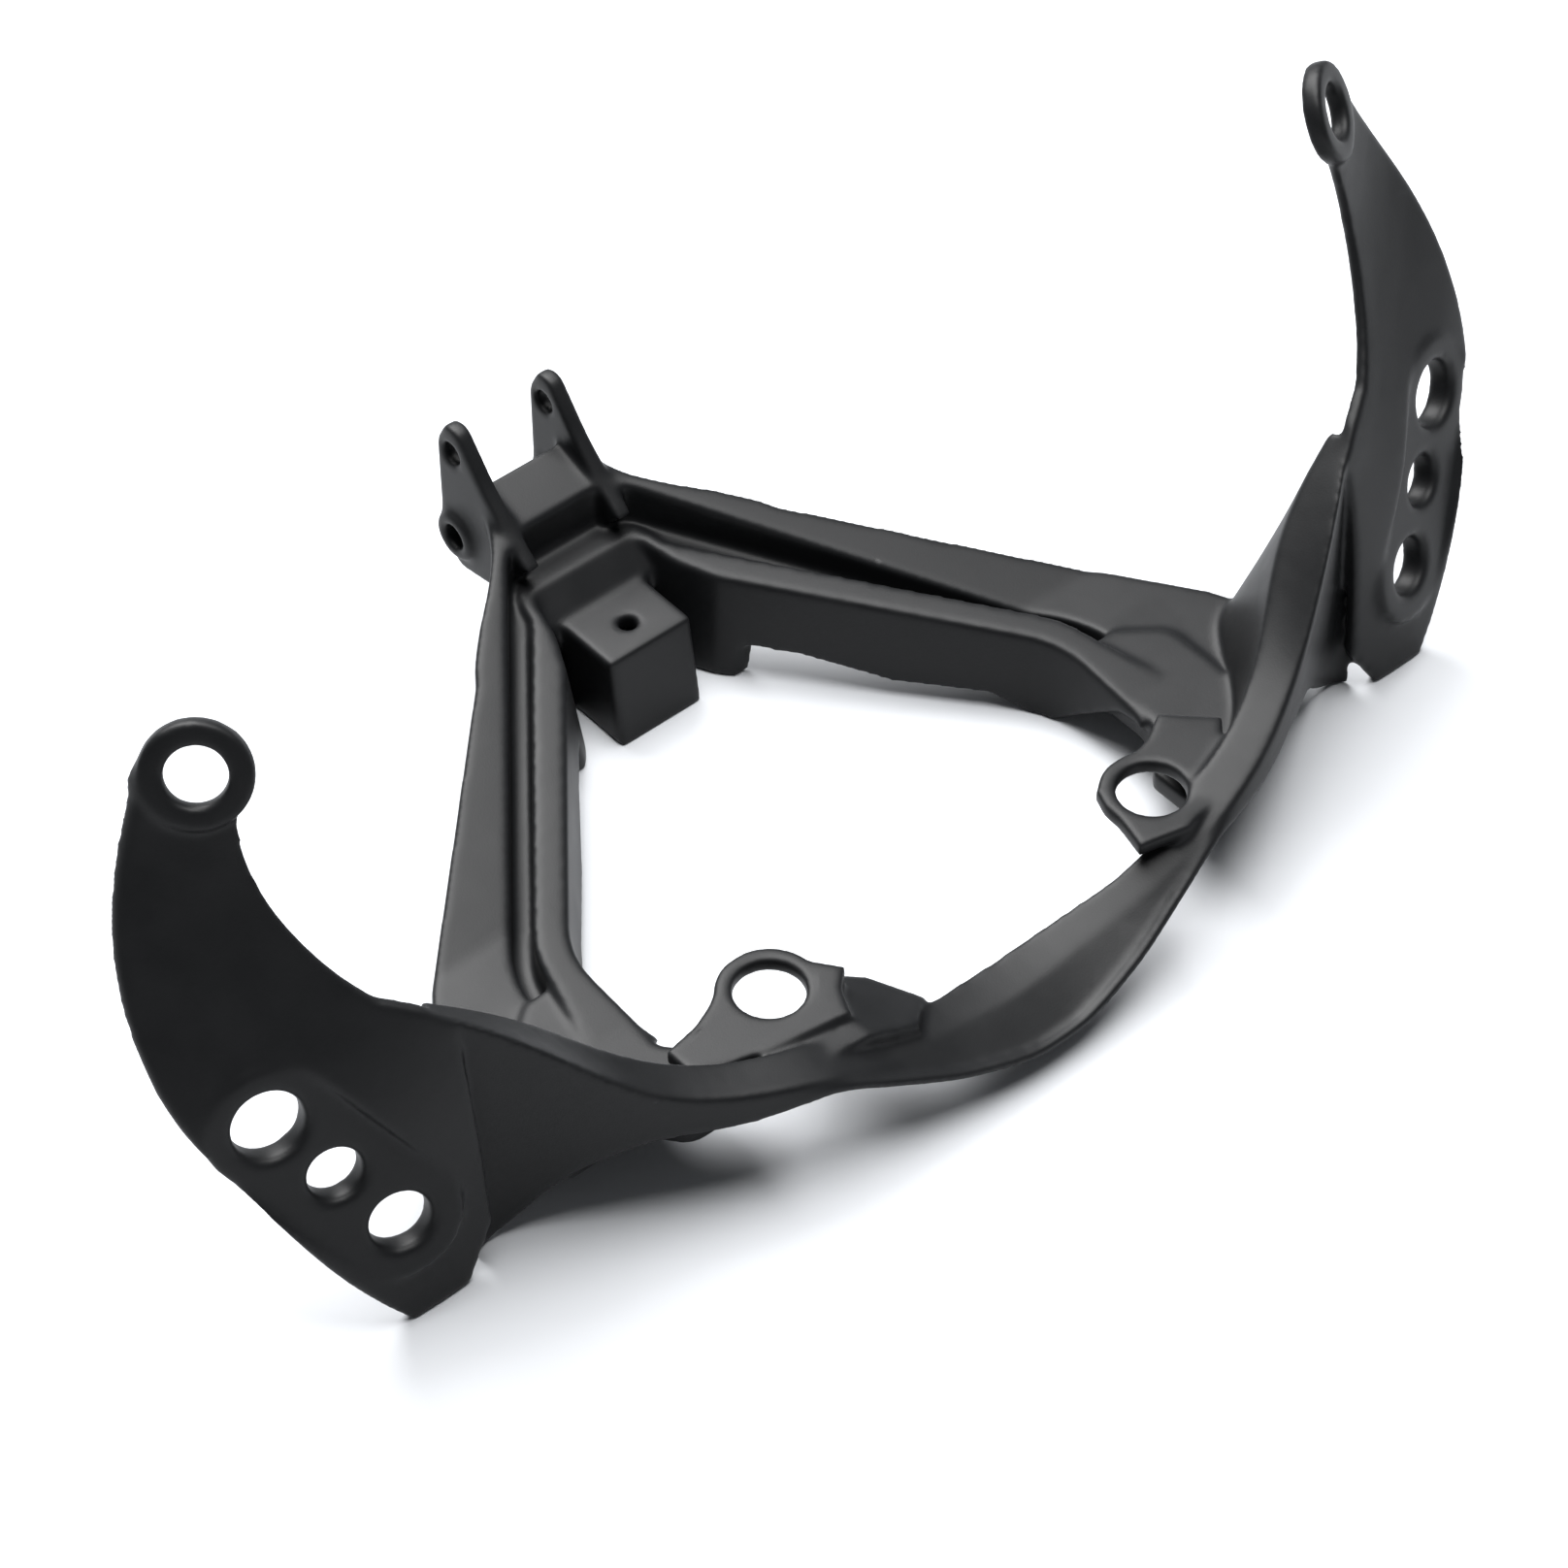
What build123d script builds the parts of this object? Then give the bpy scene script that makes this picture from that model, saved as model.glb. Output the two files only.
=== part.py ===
import os
from build123d import *

# Headlight mounting bracket: one casting, in millimetres, Z up, standing on a table at Z = 0.
# X runs across the bike and Y towards the two rear ears. Heights along Y are straight lines.

# Sheet thicknesses
wall = 3.6
flange_t = 4.2
arm_t = 3.4

# Side flange: height of its top, level in front and rising to the rear
flange_rear = 144.5
flange_bend = 58.0
flange_low = 16.5
flange_slope = 0.339
flange_high = flange_low + flange_slope * (flange_rear - flange_bend)

# Channel inside the flange, and the raised lip inside the channel
apex_y = 131.5
apex_x = 14.5
side_x = 80.0
side_y = 49.5
channel_w = 4.6
channel_low = 12.0
channel_slope = 0.25
lip_low = 15.5
lip_slope = 0.116
lip_h = 12.0

# Opening for the lamp
open_apex_x = 13.5
open_apex_y = 127.5
open_side_x = 71.5
open_side_y = 43.0
open_front_y = 6.0
skirt_taper = 8.0

# Rear boss
boss_half = 11.8
boss_top = 23.5

# Lamp tabs
tab_top = 28.0
tab_t = 4.0
tab_bore = 15.3
tab_eye = 23.0
grommet_lip = 2.4
tab_right_at = (49.5, -7.5)
tab_left_at = (-49.0, 3.0)

# Arm ends and arm pads
ring_bore = 12.4
ring_eye = 22.4
ring_t = 4.4
pad_bores = (15.0, 11.5, 13.0)
pad_half_w = 13.2
pad_t = 6.5
rim_step = 0.9

# Rear ears
ear_gap = 22.0
ear_t = 4.2
ear_out = ear_gap / 2 + ear_t
ear_bore = 5.6
ear_bore_at = (150.0, 53.5)
ear_boss = 12.0
ear_boss_bore = 6.2
ear_boss_at = (148.5, 30.5)

# Arm sheet: its front face at seven heights, for three distances from the middle
arm_heights = (-4, 25, 50, 75, 100, 120, 137)
arm_faces = (
    (116, (2.5, 3.5, 6, 11, 20, 25, 30)),
    (148, (0.2, 5.5, 11, 23.5, 37.5, 45.8, 53)),
    (183, (10.5, 16.5, 24, 36, 53, 68, 78)),
)

# Front rail and corners as an inverted channel, for several distances from the middle:
# front foot, crest, back edge of the top, back foot
rail_rows = (
    (0, (-35, 6), (-22, 13), (-12.5, 14), (-12.5, 9)),
    (20, (-33, 9.5), (-21.4, 14.8), (-13.6, 16), (-13.4, 10.5)),
    (40, (-28.4, 17), (-23, 20.4), (-15.5, 22), (-14.5, 13)),
    (54, (-24.8, 22.5), (-23, 26.3), (-13, 28), (-11, 15)),
    (70, (-20, 22.5), (-19, 30), (-8.5, 31.5), (-6, 17)),
    (88, (-11.5, 23), (-11, 36), (0.5, 39), (6, 16)),
    (104, (-1.5, 16), (-2.2, 50.5), (11.5, 51.5), (27, 15)),
    (118, (6, 2), (7.3, 63.6), (17, 62.5), (30, 14)),
    (125.4, (4, 0), (13, 69), (18.4, 68.6), (29, 28)),
)


def arm_sheet(ahead, behind):
    """The curved sheet of the right arm between two distances from its front face."""
    with BuildPart(mode=Mode.PRIVATE) as sheet:
        for x, faces in arm_faces:
            with BuildSketch(Plane.YZ.offset(x)):
                with BuildLine():
                    front = Spline(*[(y + ahead, z) for y, z in zip(faces, arm_heights)])
                    back = Spline(*[(y + behind, z) for y, z in zip(faces, arm_heights)])
                    Line(front @ 0, back @ 0)
                    Line(front @ 1, back @ 1)
                make_face()
        loft()
    return sheet.part


def height_band(low, bend, high, rear, thick):
    """A thin band across the whole width that is level up to the bend and then rises."""
    with BuildPart(mode=Mode.PRIVATE) as band:
        with BuildSketch(Plane.YZ):
            with BuildLine():
                Polyline(
                    (-15, low), (bend, low), (rear, high), (rear, high - thick),
                    (bend, low - thick), (-15, low - thick), close=True,
                )
            make_face()
        extrude(amount=130, both=True)
    return band.part


with BuildSketch() as flange_plan:
    with BuildLine():
        Polyline((0, 0), (0, flange_rear), (ear_out, flange_rear), (ear_out, 139))
        Spline((ear_out, 139), (19.5, 131), (29, 121.5), (43, 107.3))
        Polyline((43, 107.3), (96, 56.5), (110, 36), (117, 20), (104, 0), (0, 0))
    make_face()
    mirror(about=Plane.YZ)
    fillet(flange_plan.vertices().filter_by(lambda v: 90 < abs(v.X) < 100), 25)

with BuildSketch() as channel_plan:
    with BuildLine():
        Polyline(
            (0, 8), (86, 8), (86, 25), (side_x, side_y), (apex_x, apex_y), (-apex_x, apex_y),
            (-side_x, side_y), (-86, 25), (-86, 8), close=True,
        )
    make_face()
    fillet(channel_plan.vertices().filter_by(lambda v: v.Y > 100), 15)
    fillet(channel_plan.vertices().filter_by(lambda v: 40 < v.Y < 60), 30)

with BuildSketch() as opening_plan:
    with BuildLine():
        Polyline(
            (0, open_front_y), (open_side_x, open_front_y), (open_side_x, open_side_y), (22, 103),
            (open_apex_x + 4, 112), (open_apex_x, open_apex_y), (0, open_apex_y),
        )
        mirror(about=Plane.YZ)
    make_face()
    fillet(opening_plan.vertices().filter_by(lambda v: abs(abs(v.X) - open_apex_x) < 0.5), 10)
    fillet(opening_plan.vertices().filter_by(lambda v: abs(v.Y - open_side_y) < 1), 24)
    fillet(opening_plan.vertices().filter_by(lambda v: abs(v.X) > 60 and v.Y < 10), 14)

with BuildPart() as flange:
    with BuildSketch(Plane.XY.offset(-10)):
        add(flange_plan.sketch)
        add(channel_plan.sketch, mode=Mode.SUBTRACT)
    extrude(amount=80)
    add(height_band(flange_low, flange_bend, flange_high, flange_rear, flange_t), mode=Mode.INTERSECT)

channel_high = channel_low + channel_slope * (flange_rear - flange_bend)

with BuildPart() as channel_wall:
    with BuildSketch(Plane.XY.offset(-10)):
        add(channel_plan.sketch)
        offset(amount=wall)
        add(channel_plan.sketch, mode=Mode.SUBTRACT)
    extrude(amount=80)
    with BuildSketch(Plane.YZ):
        with BuildLine():
            Polyline(
                (0, flange_low), (flange_bend, flange_low), (flange_rear, flange_high),
                (flange_rear, channel_high - wall), (flange_bend, channel_low - wall), (0, channel_low - wall),
                close=True,
            )
        make_face()
    extrude(amount=130, both=True, mode=Mode.INTERSECT)

with BuildPart() as channel_floor:
    with BuildSketch(Plane.XY.offset(-10)):
        add(channel_plan.sketch)
        offset(amount=wall)
        add(opening_plan.sketch, mode=Mode.SUBTRACT)
    extrude(amount=80)
    add(height_band(channel_low, flange_bend, channel_high, flange_rear, wall), mode=Mode.INTERSECT)

with BuildPart() as lip:
    with BuildSketch(Plane.XY.offset(-10)):
        add(channel_plan.sketch)
        offset(amount=-channel_w)
        add(opening_plan.sketch, mode=Mode.SUBTRACT)
    extrude(amount=80)
    with BuildSketch(Plane.YZ):
        with BuildLine():
            Polyline(
                (0, lip_low), (flange_rear, lip_low + flange_rear * lip_slope),
                (flange_rear, lip_low + flange_rear * lip_slope - lip_h),
                (flange_bend, channel_low - wall), (0, channel_low - wall), close=True,
            )
        make_face()
    extrude(amount=130, both=True, mode=Mode.INTERSECT)

with BuildPart() as corner_floor:
    with BuildSketch(Plane.XY.offset(lip_low + 2.4)):
        with BuildLine():
            Polyline((60, 2), (60, -10), (80, -9), (90, 4), (94, 16), (94, 32), (84, 40), (71, 40), (71, 14), close=True)
        make_face()
        fillet(vertices().filter_by(lambda v: v.X > 75), 6)
    extrude(amount=-wall - 2)

# The wall under the apex of the opening leans down to the boss.
with BuildPart() as apex_slope:
    with BuildSketch(Plane.XY.offset(-10)):
        add(opening_plan.sketch)
        offset(amount=1)
        with Locations((0, 125)):
            Rectangle(44, 32, mode=Mode.INTERSECT)
    extrude(amount=80)
    with BuildSketch(Plane.YZ):
        with BuildLine():
            Polyline((116, 20), (117, boss_top), (124, 30), (128, 30), (128, 14), (118, 14), close=True)
        make_face()
    extrude(amount=40, both=True, mode=Mode.INTERSECT)

with BuildPart() as skirt:
    with BuildSketch(Plane.XY.offset(30)):
        add(opening_plan.sketch)
        offset(amount=wall)
    extrude(amount=-36, taper=skirt_taper)
    with BuildSketch(Plane.XY.offset(30)):
        add(opening_plan.sketch)
    extrude(amount=-36, taper=skirt_taper, mode=Mode.SUBTRACT)
    with BuildSketch(Plane.YZ):
        with BuildLine():
            Polyline(
                (15, 15), (23, 14), (40, 0), (46, 0), (53, 4), (70, 4), (86, 8), (97, 9), (97, 0), (135, 0),
                (135, lip_low + 135 * lip_slope), (15, lip_low + 15 * lip_slope), close=True,
            )
        make_face()
    extrude(amount=130, both=True, mode=Mode.INTERSECT)

with BuildPart() as boss:
    with BuildSketch(Plane.YZ):
        with BuildLine():
            Polyline((96.5, 0), (100, boss_top), (126, boss_top), (126, 0), close=True)
        make_face()
    extrude(amount=boss_half, both=True)
    with BuildSketch(Plane.XY):
        with Locations((0, 110.5)):
            Rectangle(2 * (boss_half - wall), 19)
    extrude(amount=boss_top - 5, mode=Mode.SUBTRACT)

with BuildPart() as rail:
    left_rows = [(-x, *row) for x, *row in reversed(rail_rows[1:])]
    for x, foot, crest, back, heel in (*left_rows, *rail_rows):
        thin = min(wall, 0.4 * (back[0] - crest[0]))
        with BuildSketch(Plane.YZ.offset(x)):
            with BuildLine():
                Polyline(
                    foot, crest, back, heel,
                    (heel[0] - thin, heel[1]), (back[0] - thin, back[1] - wall),
                    (crest[0] + thin, crest[1] - wall), (foot[0] + thin, foot[1]), close=True,
                )
            make_face()
    loft()

with BuildSketch(Plane.XZ) as arm_plan:
    with BuildLine():
        edge = Spline(
            (144.5, 0), (158.6, 21.4), (169.3, 44), (176.6, 62), (177.8, 76), (174.2, 93), (165.5, 111), (160.8, 120),
        )
        top = ThreePointArc(edge @ 1, (151, 128), (143.5, 121))
        inner = Spline(top @ 1, (146.2, 112), (146.4, 101), (142, 86), (134.4, 74.7))
        Polyline(inner @ 1, (127.1, 70.6), (122.5, 66), (122.5, 12), (130, 0), edge @ 0)
    make_face()

pad_top = Vector(160, 19.8, 57)
pad_low = Vector(143.5, 5.3, 25)
pad_pitch = (pad_top - pad_low).length / 2
pad_plane = Plane(origin=(pad_top + pad_low) / 2, x_dir=pad_top - pad_low, z_dir=(0.238, -0.925, 0.296))
pad_plane = pad_plane.rotated((0, 4, 0))
ring_plane = Plane(origin=(150.8, 48.1, 124.4), x_dir=(1, 0, 0), z_dir=(0.54, -0.74, 0.41))

with BuildPart() as arm:
    add(arm_sheet(0, arm_t))
    with BuildSketch(Plane.XZ):
        add(arm_plan.sketch)
    extrude(amount=200, both=True, mode=Mode.INTERSECT)
    with BuildSketch(pad_plane):
        SlotCenterToCenter(2 * pad_pitch, 2 * pad_half_w)
    extrude(amount=14, taper=-14, mode=Mode.SUBTRACT)
    with BuildSketch(pad_plane):
        SlotCenterToCenter(2 * pad_pitch, 2 * pad_half_w)
    extrude(amount=-pad_t)
    with BuildSketch(ring_plane):
        Circle(ring_eye / 2)
    extrude(amount=-ring_t)
    for at, bore in zip((pad_pitch, 0, -pad_pitch), pad_bores):
        with BuildSketch(pad_plane):
            with Locations((at, 0)):
                Circle(bore / 2 + rim_step)
        extrude(amount=-rim_step, taper=45, mode=Mode.SUBTRACT)
        with BuildSketch(pad_plane.offset(8)):
            with Locations((at, 0)):
                Circle(bore / 2)
        extrude(amount=-26, mode=Mode.SUBTRACT)
    with BuildSketch(ring_plane.offset(8)):
        Circle(ring_bore / 2)
    extrude(amount=-24, mode=Mode.SUBTRACT)

with BuildPart() as tab_right:
    with BuildSketch(Plane.XY.offset(tab_top)):
        with BuildLine():
            Polyline((76, -2), (66, 8), (59, 4), (40, 0), (37.5, -12), (36, -18), (48, -21), (62, -17), close=True)
        make_face()
        with Locations(tab_right_at):
            Circle(tab_eye / 2)
    extrude(amount=-tab_t)

with BuildPart() as tab_left:
    with BuildSketch(Plane.XY.offset(tab_top)) as left_plan:
        with BuildLine():
            Polyline(
                (-76, 4), (-67, 5.5), (-61, 8), (-52, 14), (-44, 12.5), (-33, -2.5), (-37.5, -6.5), (-40.5, -13),
                (-58, -10), (-76, -5), close=True,
            )
        make_face()
        fillet(left_plan.vertices().filter_by(lambda v: -38 < v.X < -37), 3)
        with Locations(tab_left_at):
            Circle(tab_eye / 2)
    extrude(amount=-tab_t)

# The rail widens beside the left tab, a step below the tab's face.
with BuildPart() as shelf:
    with BuildSketch(Plane.XY):
        with BuildLine():
            Polyline((-62, -17), (-62, 0), (-44, 6), (-27, -2), (-19.5, -12.5), (-28, -20), close=True)
        make_face()
    extrude(amount=60)
    with BuildSketch(Plane.XZ):
        with BuildLine():
            Polyline((-64, 27.2), (-40, 25.6), (-17, 15.8), (-17, 11.5), (-40, 20), (-64, 22), close=True)
        make_face()
    extrude(amount=60, both=True, mode=Mode.INTERSECT)

with BuildPart() as ear:
    with BuildSketch(Plane.YZ.offset(ear_gap / 2)) as ear_side:
        with BuildLine():
            Polyline(
                (155, 26), (155, 55.5), (152, 61), (147.5, 61), (139.5, 50.5), (132, 42.5), (124, 36), (137, 22),
                (149, 20),
                close=True,
            )
        make_face()
        fillet(ear_side.vertices().filter_by(lambda v: v.Y > 54 or v.X > 148 and v.Y < 30), 2)
    extrude(amount=ear_t)
    with BuildSketch(Plane.YZ.offset(ear_gap / 2 - 2)):
        with Locations(ear_boss_at):
            Circle(ear_boss / 2)
    extrude(amount=ear_t + 4)
    with BuildSketch(Plane.YZ):
        with Locations(ear_bore_at):
            Circle(ear_bore / 2)
        with Locations(ear_boss_at):
            Circle(ear_boss_bore / 2)
    extrude(amount=30, mode=Mode.SUBTRACT)

with BuildPart() as front:
    add(arm.part)
    add(mirror(arm.part, about=Plane.YZ, mode=Mode.PRIVATE))
    add(rail.part)
    split(bisect_by=Plane.XY, keep=Keep.TOP)

with BuildPart() as casting:
    add(flange.part)
    add(channel_wall.part)
    add(channel_floor.part)
    add(lip.part)
    add(skirt.part)
    add(apex_slope.part)
    with BuildSketch(Plane.XY.offset(-10)):
        Rectangle(2 * 72, 2 * 13)
    extrude(amount=80, mode=Mode.SUBTRACT)
    add(boss.part)
    add(corner_floor.part)
    add(mirror(corner_floor.part, about=Plane.YZ, mode=Mode.PRIVATE))
    add(tab_right.part)
    add(tab_left.part)
    add(shelf.part)
    add(ear.part)
    add(mirror(ear.part, about=Plane.YZ, mode=Mode.PRIVATE))
    add(front.part)
    with BuildSketch(Plane.XY.offset(60)):
        with Locations(tab_right_at, tab_left_at):
            Circle(tab_bore / 2)
    extrude(amount=-60, mode=Mode.SUBTRACT)
    with BuildSketch(Plane.XY.offset(tab_top - tab_t)):
        with Locations(tab_right_at, tab_left_at):
            Circle(tab_bore / 2 + grommet_lip)
    extrude(amount=-60, mode=Mode.SUBTRACT)
    with Locations((0, 108, boss_top)):
        Hole(2.2, 12)

# The origin is the middle of the casting on the table.
with BuildPart() as headlight_bracket:
    with Locations((0, -casting.part.bounding_box().center().Y, 0)):
        add(casting.part)

headlight_bracket.part.label = "headlight_bracket"
os.makedirs("parts", exist_ok=True)
export_step(headlight_bracket.part, "parts/headlight_bracket.step")
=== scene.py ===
import math
import bmesh
import bpy
from mathutils import Matrix, Vector


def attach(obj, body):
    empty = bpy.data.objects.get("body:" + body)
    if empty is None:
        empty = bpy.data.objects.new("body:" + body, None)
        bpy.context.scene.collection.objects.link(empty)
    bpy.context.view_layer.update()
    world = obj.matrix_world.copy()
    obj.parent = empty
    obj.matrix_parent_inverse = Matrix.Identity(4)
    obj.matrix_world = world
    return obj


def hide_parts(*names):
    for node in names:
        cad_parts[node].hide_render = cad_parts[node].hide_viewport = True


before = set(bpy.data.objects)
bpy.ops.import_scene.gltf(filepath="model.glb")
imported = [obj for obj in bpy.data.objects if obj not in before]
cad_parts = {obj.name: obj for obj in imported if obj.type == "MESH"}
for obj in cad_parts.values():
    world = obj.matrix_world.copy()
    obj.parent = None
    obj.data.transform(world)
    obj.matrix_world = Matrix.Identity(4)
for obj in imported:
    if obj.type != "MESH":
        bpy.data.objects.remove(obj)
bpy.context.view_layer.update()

# Sizes are in metres, in the bracket's own frame.
FLOOR_RADIUS = 1.1
FLOOR_CORNERS = 96
FLOOR_COLOUR = (0.46, 0.47, 0.487)
FLOOR_ROUGHNESS = 0.9

# The coating's noise is given in repeats per metre.
GRAIN_PER_METRE = 2600.0
GRAIN_DETAIL = 3.0
GRAIN_STRENGTH = 0.22
GRAIN_HEIGHT = 0.0001
CLOUD_PER_METRE = 90.0
CLOUD_DETAIL = 4.0
COATING_DARK = (0.0045, 0.0048, 0.0053, 1)
COATING_LIGHT = (0.0065, 0.0068, 0.0074, 1)
DARK_UP_TO = 0.3
LIGHT_FROM = 0.75
ROUGHNESS_LOW = 0.40
ROUGHNESS_HIGH = 0.52
COATING_SPECULAR = 0.19
EDGE_RADIUS = 0.0009
EDGE_SAMPLES = 6

# The skin is a remeshed copy of the casting, softened and then thinned out to a share of its faces.
SKIN_VOXEL = 0.0005
SKIN_SOFTENING = 0.5
SKIN_SMOOTHING = 42
SKIN_SHARE = 0.18

# Points of the rail's lower edge, from the middle to the right, as in the part's source.
BEAD_RADIUS = 0.0013
RAIL_FOOT = [
    (0, -0.095, 0.006), (0.020, -0.093, 0.0095), (0.040, -0.0884, 0.017), (0.054, -0.0848, 0.0225),
    (0.070, -0.080, 0.0225), (0.088, -0.0715, 0.023), (0.104, -0.0615, 0.016),
]

# Lights are aimed at the origin, with powers in watts.
WHITE = (1.0, 1.0, 1.0)
FILL_COLOUR = (0.93, 0.96, 1.0)
FILL_STRENGTH = 0.18
KEY_PLACE = (0.25, 1.50, 1.80)
KEY_SIZE = 1.7
KEY_POWER = 122
TOP_PLACE = (0.25, 0.10, 2.20)
TOP_SIZE = 1.8
TOP_POWER = 104

# The camera of the photograph, worked out from the casting's mirrored features.
# Its lens and sensor are in millimetres.
CAMERA_PLACE = (-0.4750, -0.5541, 0.7786)
VIEW_AHEAD = Vector((0.4503, 0.5206, -0.7254)).normalized()
VIEW_RIGHT = Vector((0.7563, -0.6542, 0.0)).normalized()
LENS = 111.4
SENSOR_WIDTH = 36.0


def casting_material():
    """Satin black coating over a fine cast grain."""
    mat = bpy.data.materials.new("coated_casting")
    mat.use_nodes = True
    nodes = mat.node_tree.nodes
    links = mat.node_tree.links
    shader = nodes["Principled BSDF"]
    place = nodes.new("ShaderNodeTexCoord")
    grain = nodes.new("ShaderNodeTexNoise")
    grain.inputs["Scale"].default_value = GRAIN_PER_METRE
    grain.inputs["Detail"].default_value = GRAIN_DETAIL
    cloud = nodes.new("ShaderNodeTexNoise")
    cloud.inputs["Scale"].default_value = CLOUD_PER_METRE
    cloud.inputs["Detail"].default_value = CLOUD_DETAIL
    tone = nodes.new("ShaderNodeValToRGB")
    tone.color_ramp.elements[0].position = DARK_UP_TO
    tone.color_ramp.elements[0].color = COATING_DARK
    tone.color_ramp.elements[1].position = LIGHT_FROM
    tone.color_ramp.elements[1].color = COATING_LIGHT
    rough = nodes.new("ShaderNodeMapRange")
    rough.inputs["To Min"].default_value = ROUGHNESS_LOW
    rough.inputs["To Max"].default_value = ROUGHNESS_HIGH
    shader.inputs["Specular IOR Level"].default_value = COATING_SPECULAR
    edge = nodes.new("ShaderNodeBevel")
    edge.samples = EDGE_SAMPLES
    edge.inputs["Radius"].default_value = EDGE_RADIUS
    bump = nodes.new("ShaderNodeBump")
    bump.inputs["Strength"].default_value = GRAIN_STRENGTH
    bump.inputs["Distance"].default_value = GRAIN_HEIGHT
    for noise in (grain, cloud):
        links.new(place.outputs["Object"], noise.inputs["Vector"])
    links.new(cloud.outputs["Fac"], tone.inputs["Fac"])
    links.new(tone.outputs["Color"], shader.inputs["Base Color"])
    links.new(cloud.outputs["Fac"], rough.inputs["Value"])
    links.new(rough.outputs["Result"], shader.inputs["Roughness"])
    links.new(grain.outputs["Fac"], bump.inputs["Height"])
    links.new(edge.outputs["Normal"], bump.inputs["Normal"])
    links.new(bump.outputs["Normal"], shader.inputs["Normal"])
    return mat


def plain_material(name, colour, roughness):
    """One even colour with no gloss."""
    mat = bpy.data.materials.new(name)
    mat.use_nodes = True
    shader = mat.node_tree.nodes["Principled BSDF"]
    shader.inputs["Base Color"].default_value = (*colour, 1)
    shader.inputs["Roughness"].default_value = roughness
    shader.inputs["Specular IOR Level"].default_value = 0.0
    return mat


def area_light(name, place, size, power):
    """A round white area light that looks at the origin."""
    data = bpy.data.lights.new(name, "AREA")
    data.shape = "DISK"
    data.size = size
    data.energy = power
    data.color = WHITE
    lamp = bpy.data.objects.new(name, data)
    lamp.location = place
    lamp.rotation_euler = (-Vector(place)).to_track_quat("-Z", "Y").to_euler()
    bpy.context.scene.collection.objects.link(lamp)


def white_world():
    """White where the camera looks past the floor, and a weaker soft fill everywhere else."""
    world = bpy.data.worlds.new("studio")
    bpy.context.scene.world = world
    world.use_nodes = True
    nodes = world.node_tree.nodes
    links = world.node_tree.links
    nodes.clear()
    out = nodes.new("ShaderNodeOutputWorld")
    seen = nodes.new("ShaderNodeBackground")
    seen.inputs["Color"].default_value = (*WHITE, 1)
    fill = nodes.new("ShaderNodeBackground")
    fill.inputs["Color"].default_value = (*FILL_COLOUR, 1)
    fill.inputs["Strength"].default_value = FILL_STRENGTH
    path = nodes.new("ShaderNodeLightPath")
    mix = nodes.new("ShaderNodeMixShader")
    links.new(path.outputs["Is Camera Ray"], mix.inputs["Fac"])
    links.new(fill.outputs["Background"], mix.inputs[1])
    links.new(seen.outputs["Background"], mix.inputs[2])
    links.new(mix.outputs["Shader"], out.inputs["Surface"])


def final_mesh(thing):
    """The mesh that an object has once its curve or modifiers are worked out."""
    bpy.context.view_layer.update()
    return bpy.data.meshes.new_from_object(thing.evaluated_get(bpy.context.evaluated_depsgraph_get()))


def rail_bead():
    """A round bead along the lower edge of the front rail, which is a knife edge in the solid."""
    curve = bpy.data.curves.new("rail_bead", "CURVE")
    curve.dimensions = "3D"
    curve.bevel_depth = BEAD_RADIUS
    curve.use_fill_caps = True
    left = [(-x, y, z) for x, y, z in reversed(RAIL_FOOT[1:])]
    points = left + RAIL_FOOT
    spline = curve.splines.new("BEZIER")
    spline.bezier_points.add(len(points) - 1)
    for knot, (x, y, z) in zip(spline.bezier_points, points):
        knot.co = (x, y + BEAD_RADIUS, z + BEAD_RADIUS)
        knot.handle_left_type = "AUTO"
        knot.handle_right_type = "AUTO"
    bead = bpy.data.objects.new("rail_bead", curve)
    bpy.context.scene.collection.objects.link(bead)
    mesh = final_mesh(bead)
    bpy.data.objects.remove(bead)
    return mesh


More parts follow.
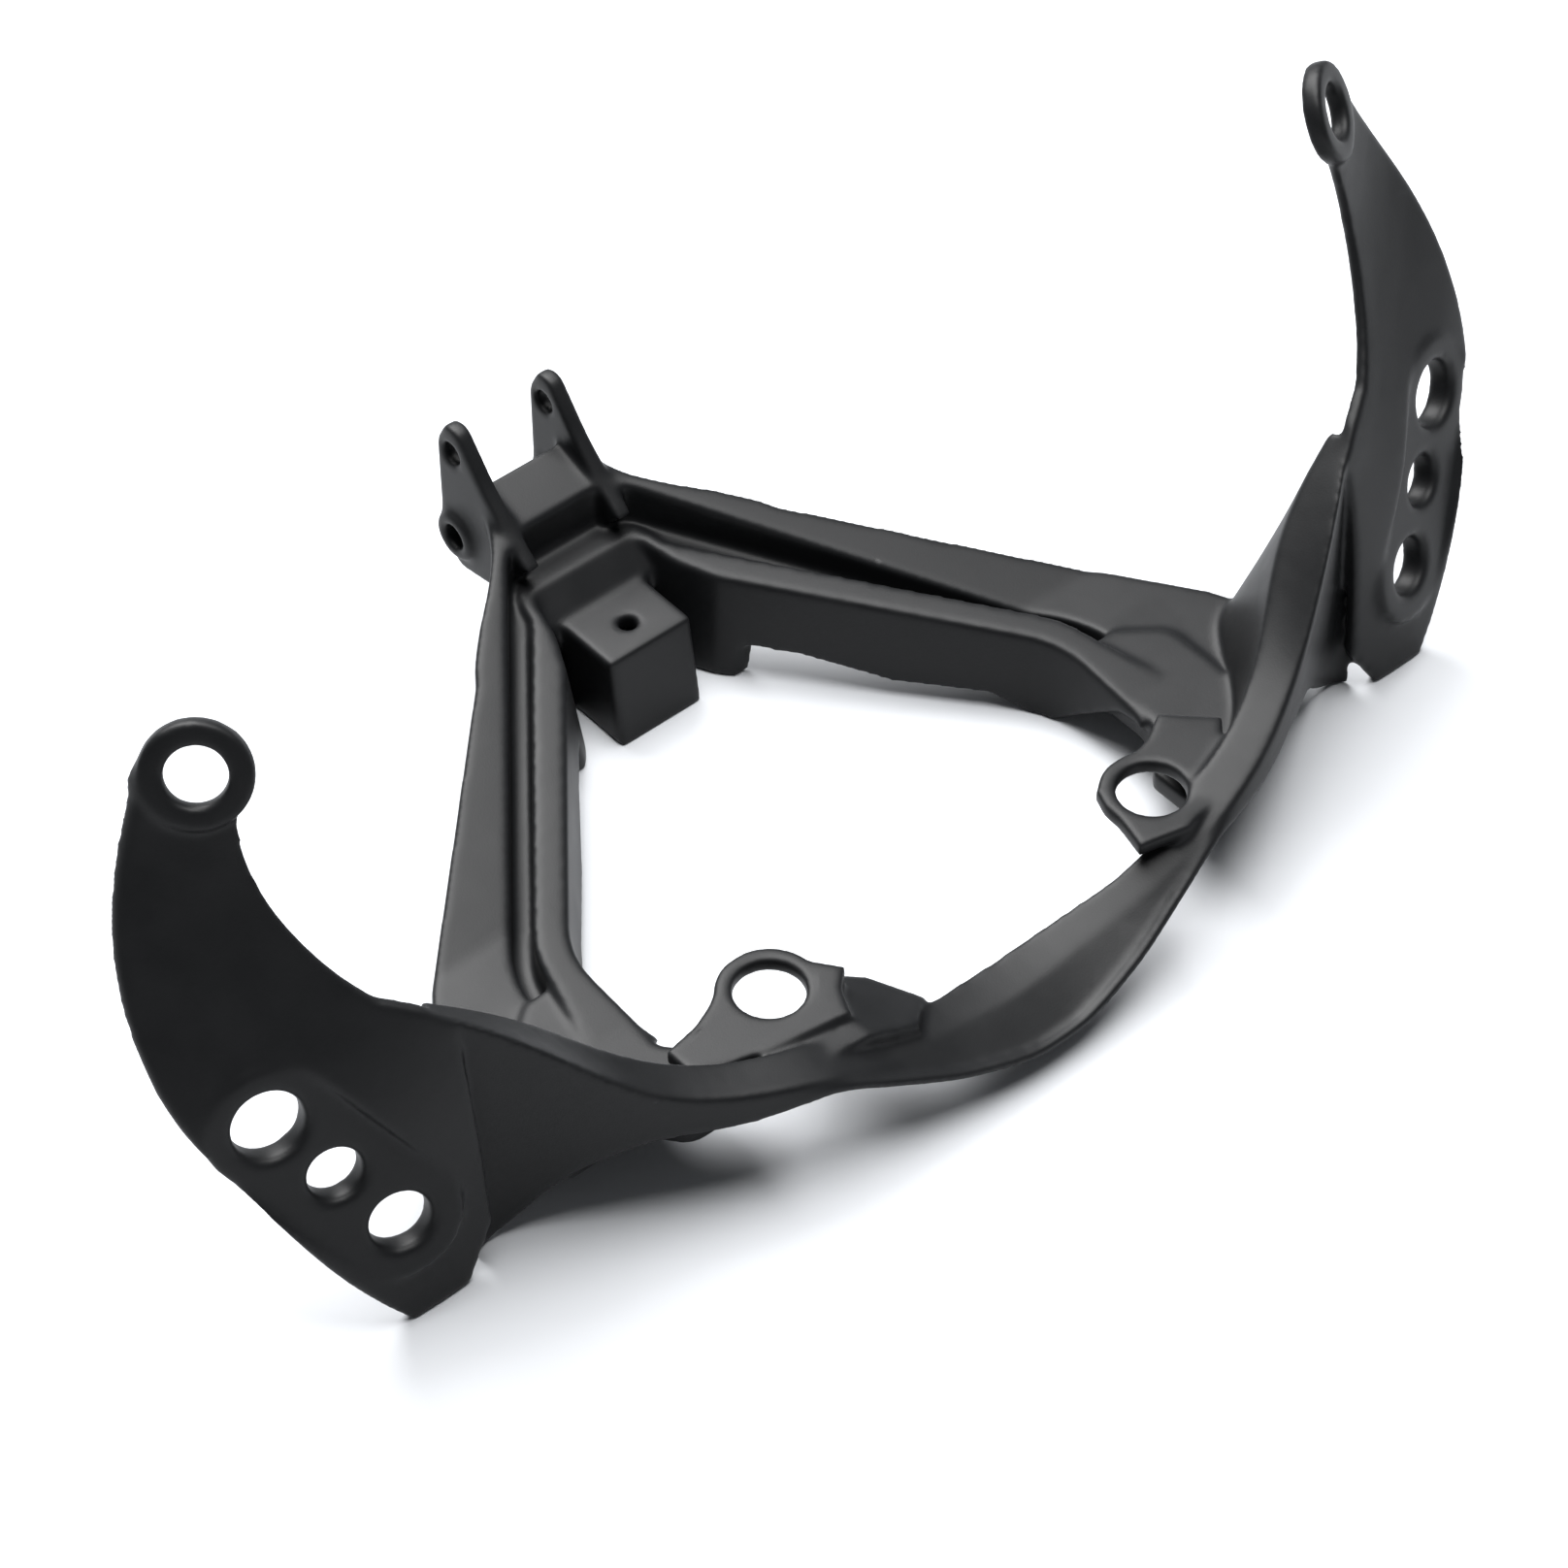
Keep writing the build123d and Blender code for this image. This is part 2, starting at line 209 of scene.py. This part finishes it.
def cast_skin(node, body):
    """A copy of the casting, joined with the bead, whose edges and steps are rounded."""
    shape = bmesh.new()
    shape.from_mesh(node.data)
    shape.from_mesh(rail_bead())
    raw = bpy.data.meshes.new("cast_skin")
    shape.to_mesh(raw)
    shape.free()
    skin = bpy.data.objects.new("cast_skin", raw)
    bpy.context.scene.collection.objects.link(skin)
    remesh = skin.modifiers.new("remesh", "REMESH")
    remesh.mode = "VOXEL"
    remesh.voxel_size = SKIN_VOXEL
    remesh.use_smooth_shade = True
    soften = skin.modifiers.new("soften", "SMOOTH")
    soften.factor = SKIN_SOFTENING
    soften.iterations = SKIN_SMOOTHING
    thin_out = skin.modifiers.new("thin_out", "DECIMATE")
    thin_out.ratio = SKIN_SHARE
    rounded = final_mesh(skin)
    skin.modifiers.clear()
    skin.data = rounded
    skin.data.materials.clear()
    skin.data.materials.append(casting_material())
    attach(skin, body)
    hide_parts("headlight_bracket")


def floor_sheet():
    """A pale round floor under the casting."""
    mesh = bpy.data.meshes.new("floor")
    turns = [2 * math.pi * i / FLOOR_CORNERS for i in range(FLOOR_CORNERS)]
    rim = [(FLOOR_RADIUS * math.cos(a), FLOOR_RADIUS * math.sin(a), 0) for a in turns]
    mesh.from_pydata(rim, [], [tuple(range(FLOOR_CORNERS))])
    floor = bpy.data.objects.new("floor", mesh)
    bpy.context.scene.collection.objects.link(floor)
    floor.data.materials.append(plain_material("floor_white", FLOOR_COLOUR, FLOOR_ROUGHNESS))


def photo_camera():
    """The camera at the photograph's place and angle."""
    data = bpy.data.cameras.new("photo_camera")
    data.sensor_width = SENSOR_WIDTH
    data.lens = LENS
    camera = bpy.data.objects.new("photo_camera", data)
    up = VIEW_RIGHT.cross(VIEW_AHEAD)
    turn = Matrix((VIEW_RIGHT, up, -VIEW_AHEAD)).transposed().to_4x4()
    camera.matrix_world = Matrix.Translation(CAMERA_PLACE) @ turn
    bpy.context.scene.collection.objects.link(camera)
    bpy.context.scene.camera = camera


cast_skin(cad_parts["headlight_bracket"], "root")
floor_sheet()
white_world()
area_light("key", KEY_PLACE, KEY_SIZE, KEY_POWER)
area_light("top", TOP_PLACE, TOP_SIZE, TOP_POWER)
photo_camera()
bpy.context.scene.view_settings.view_transform = "Standard"
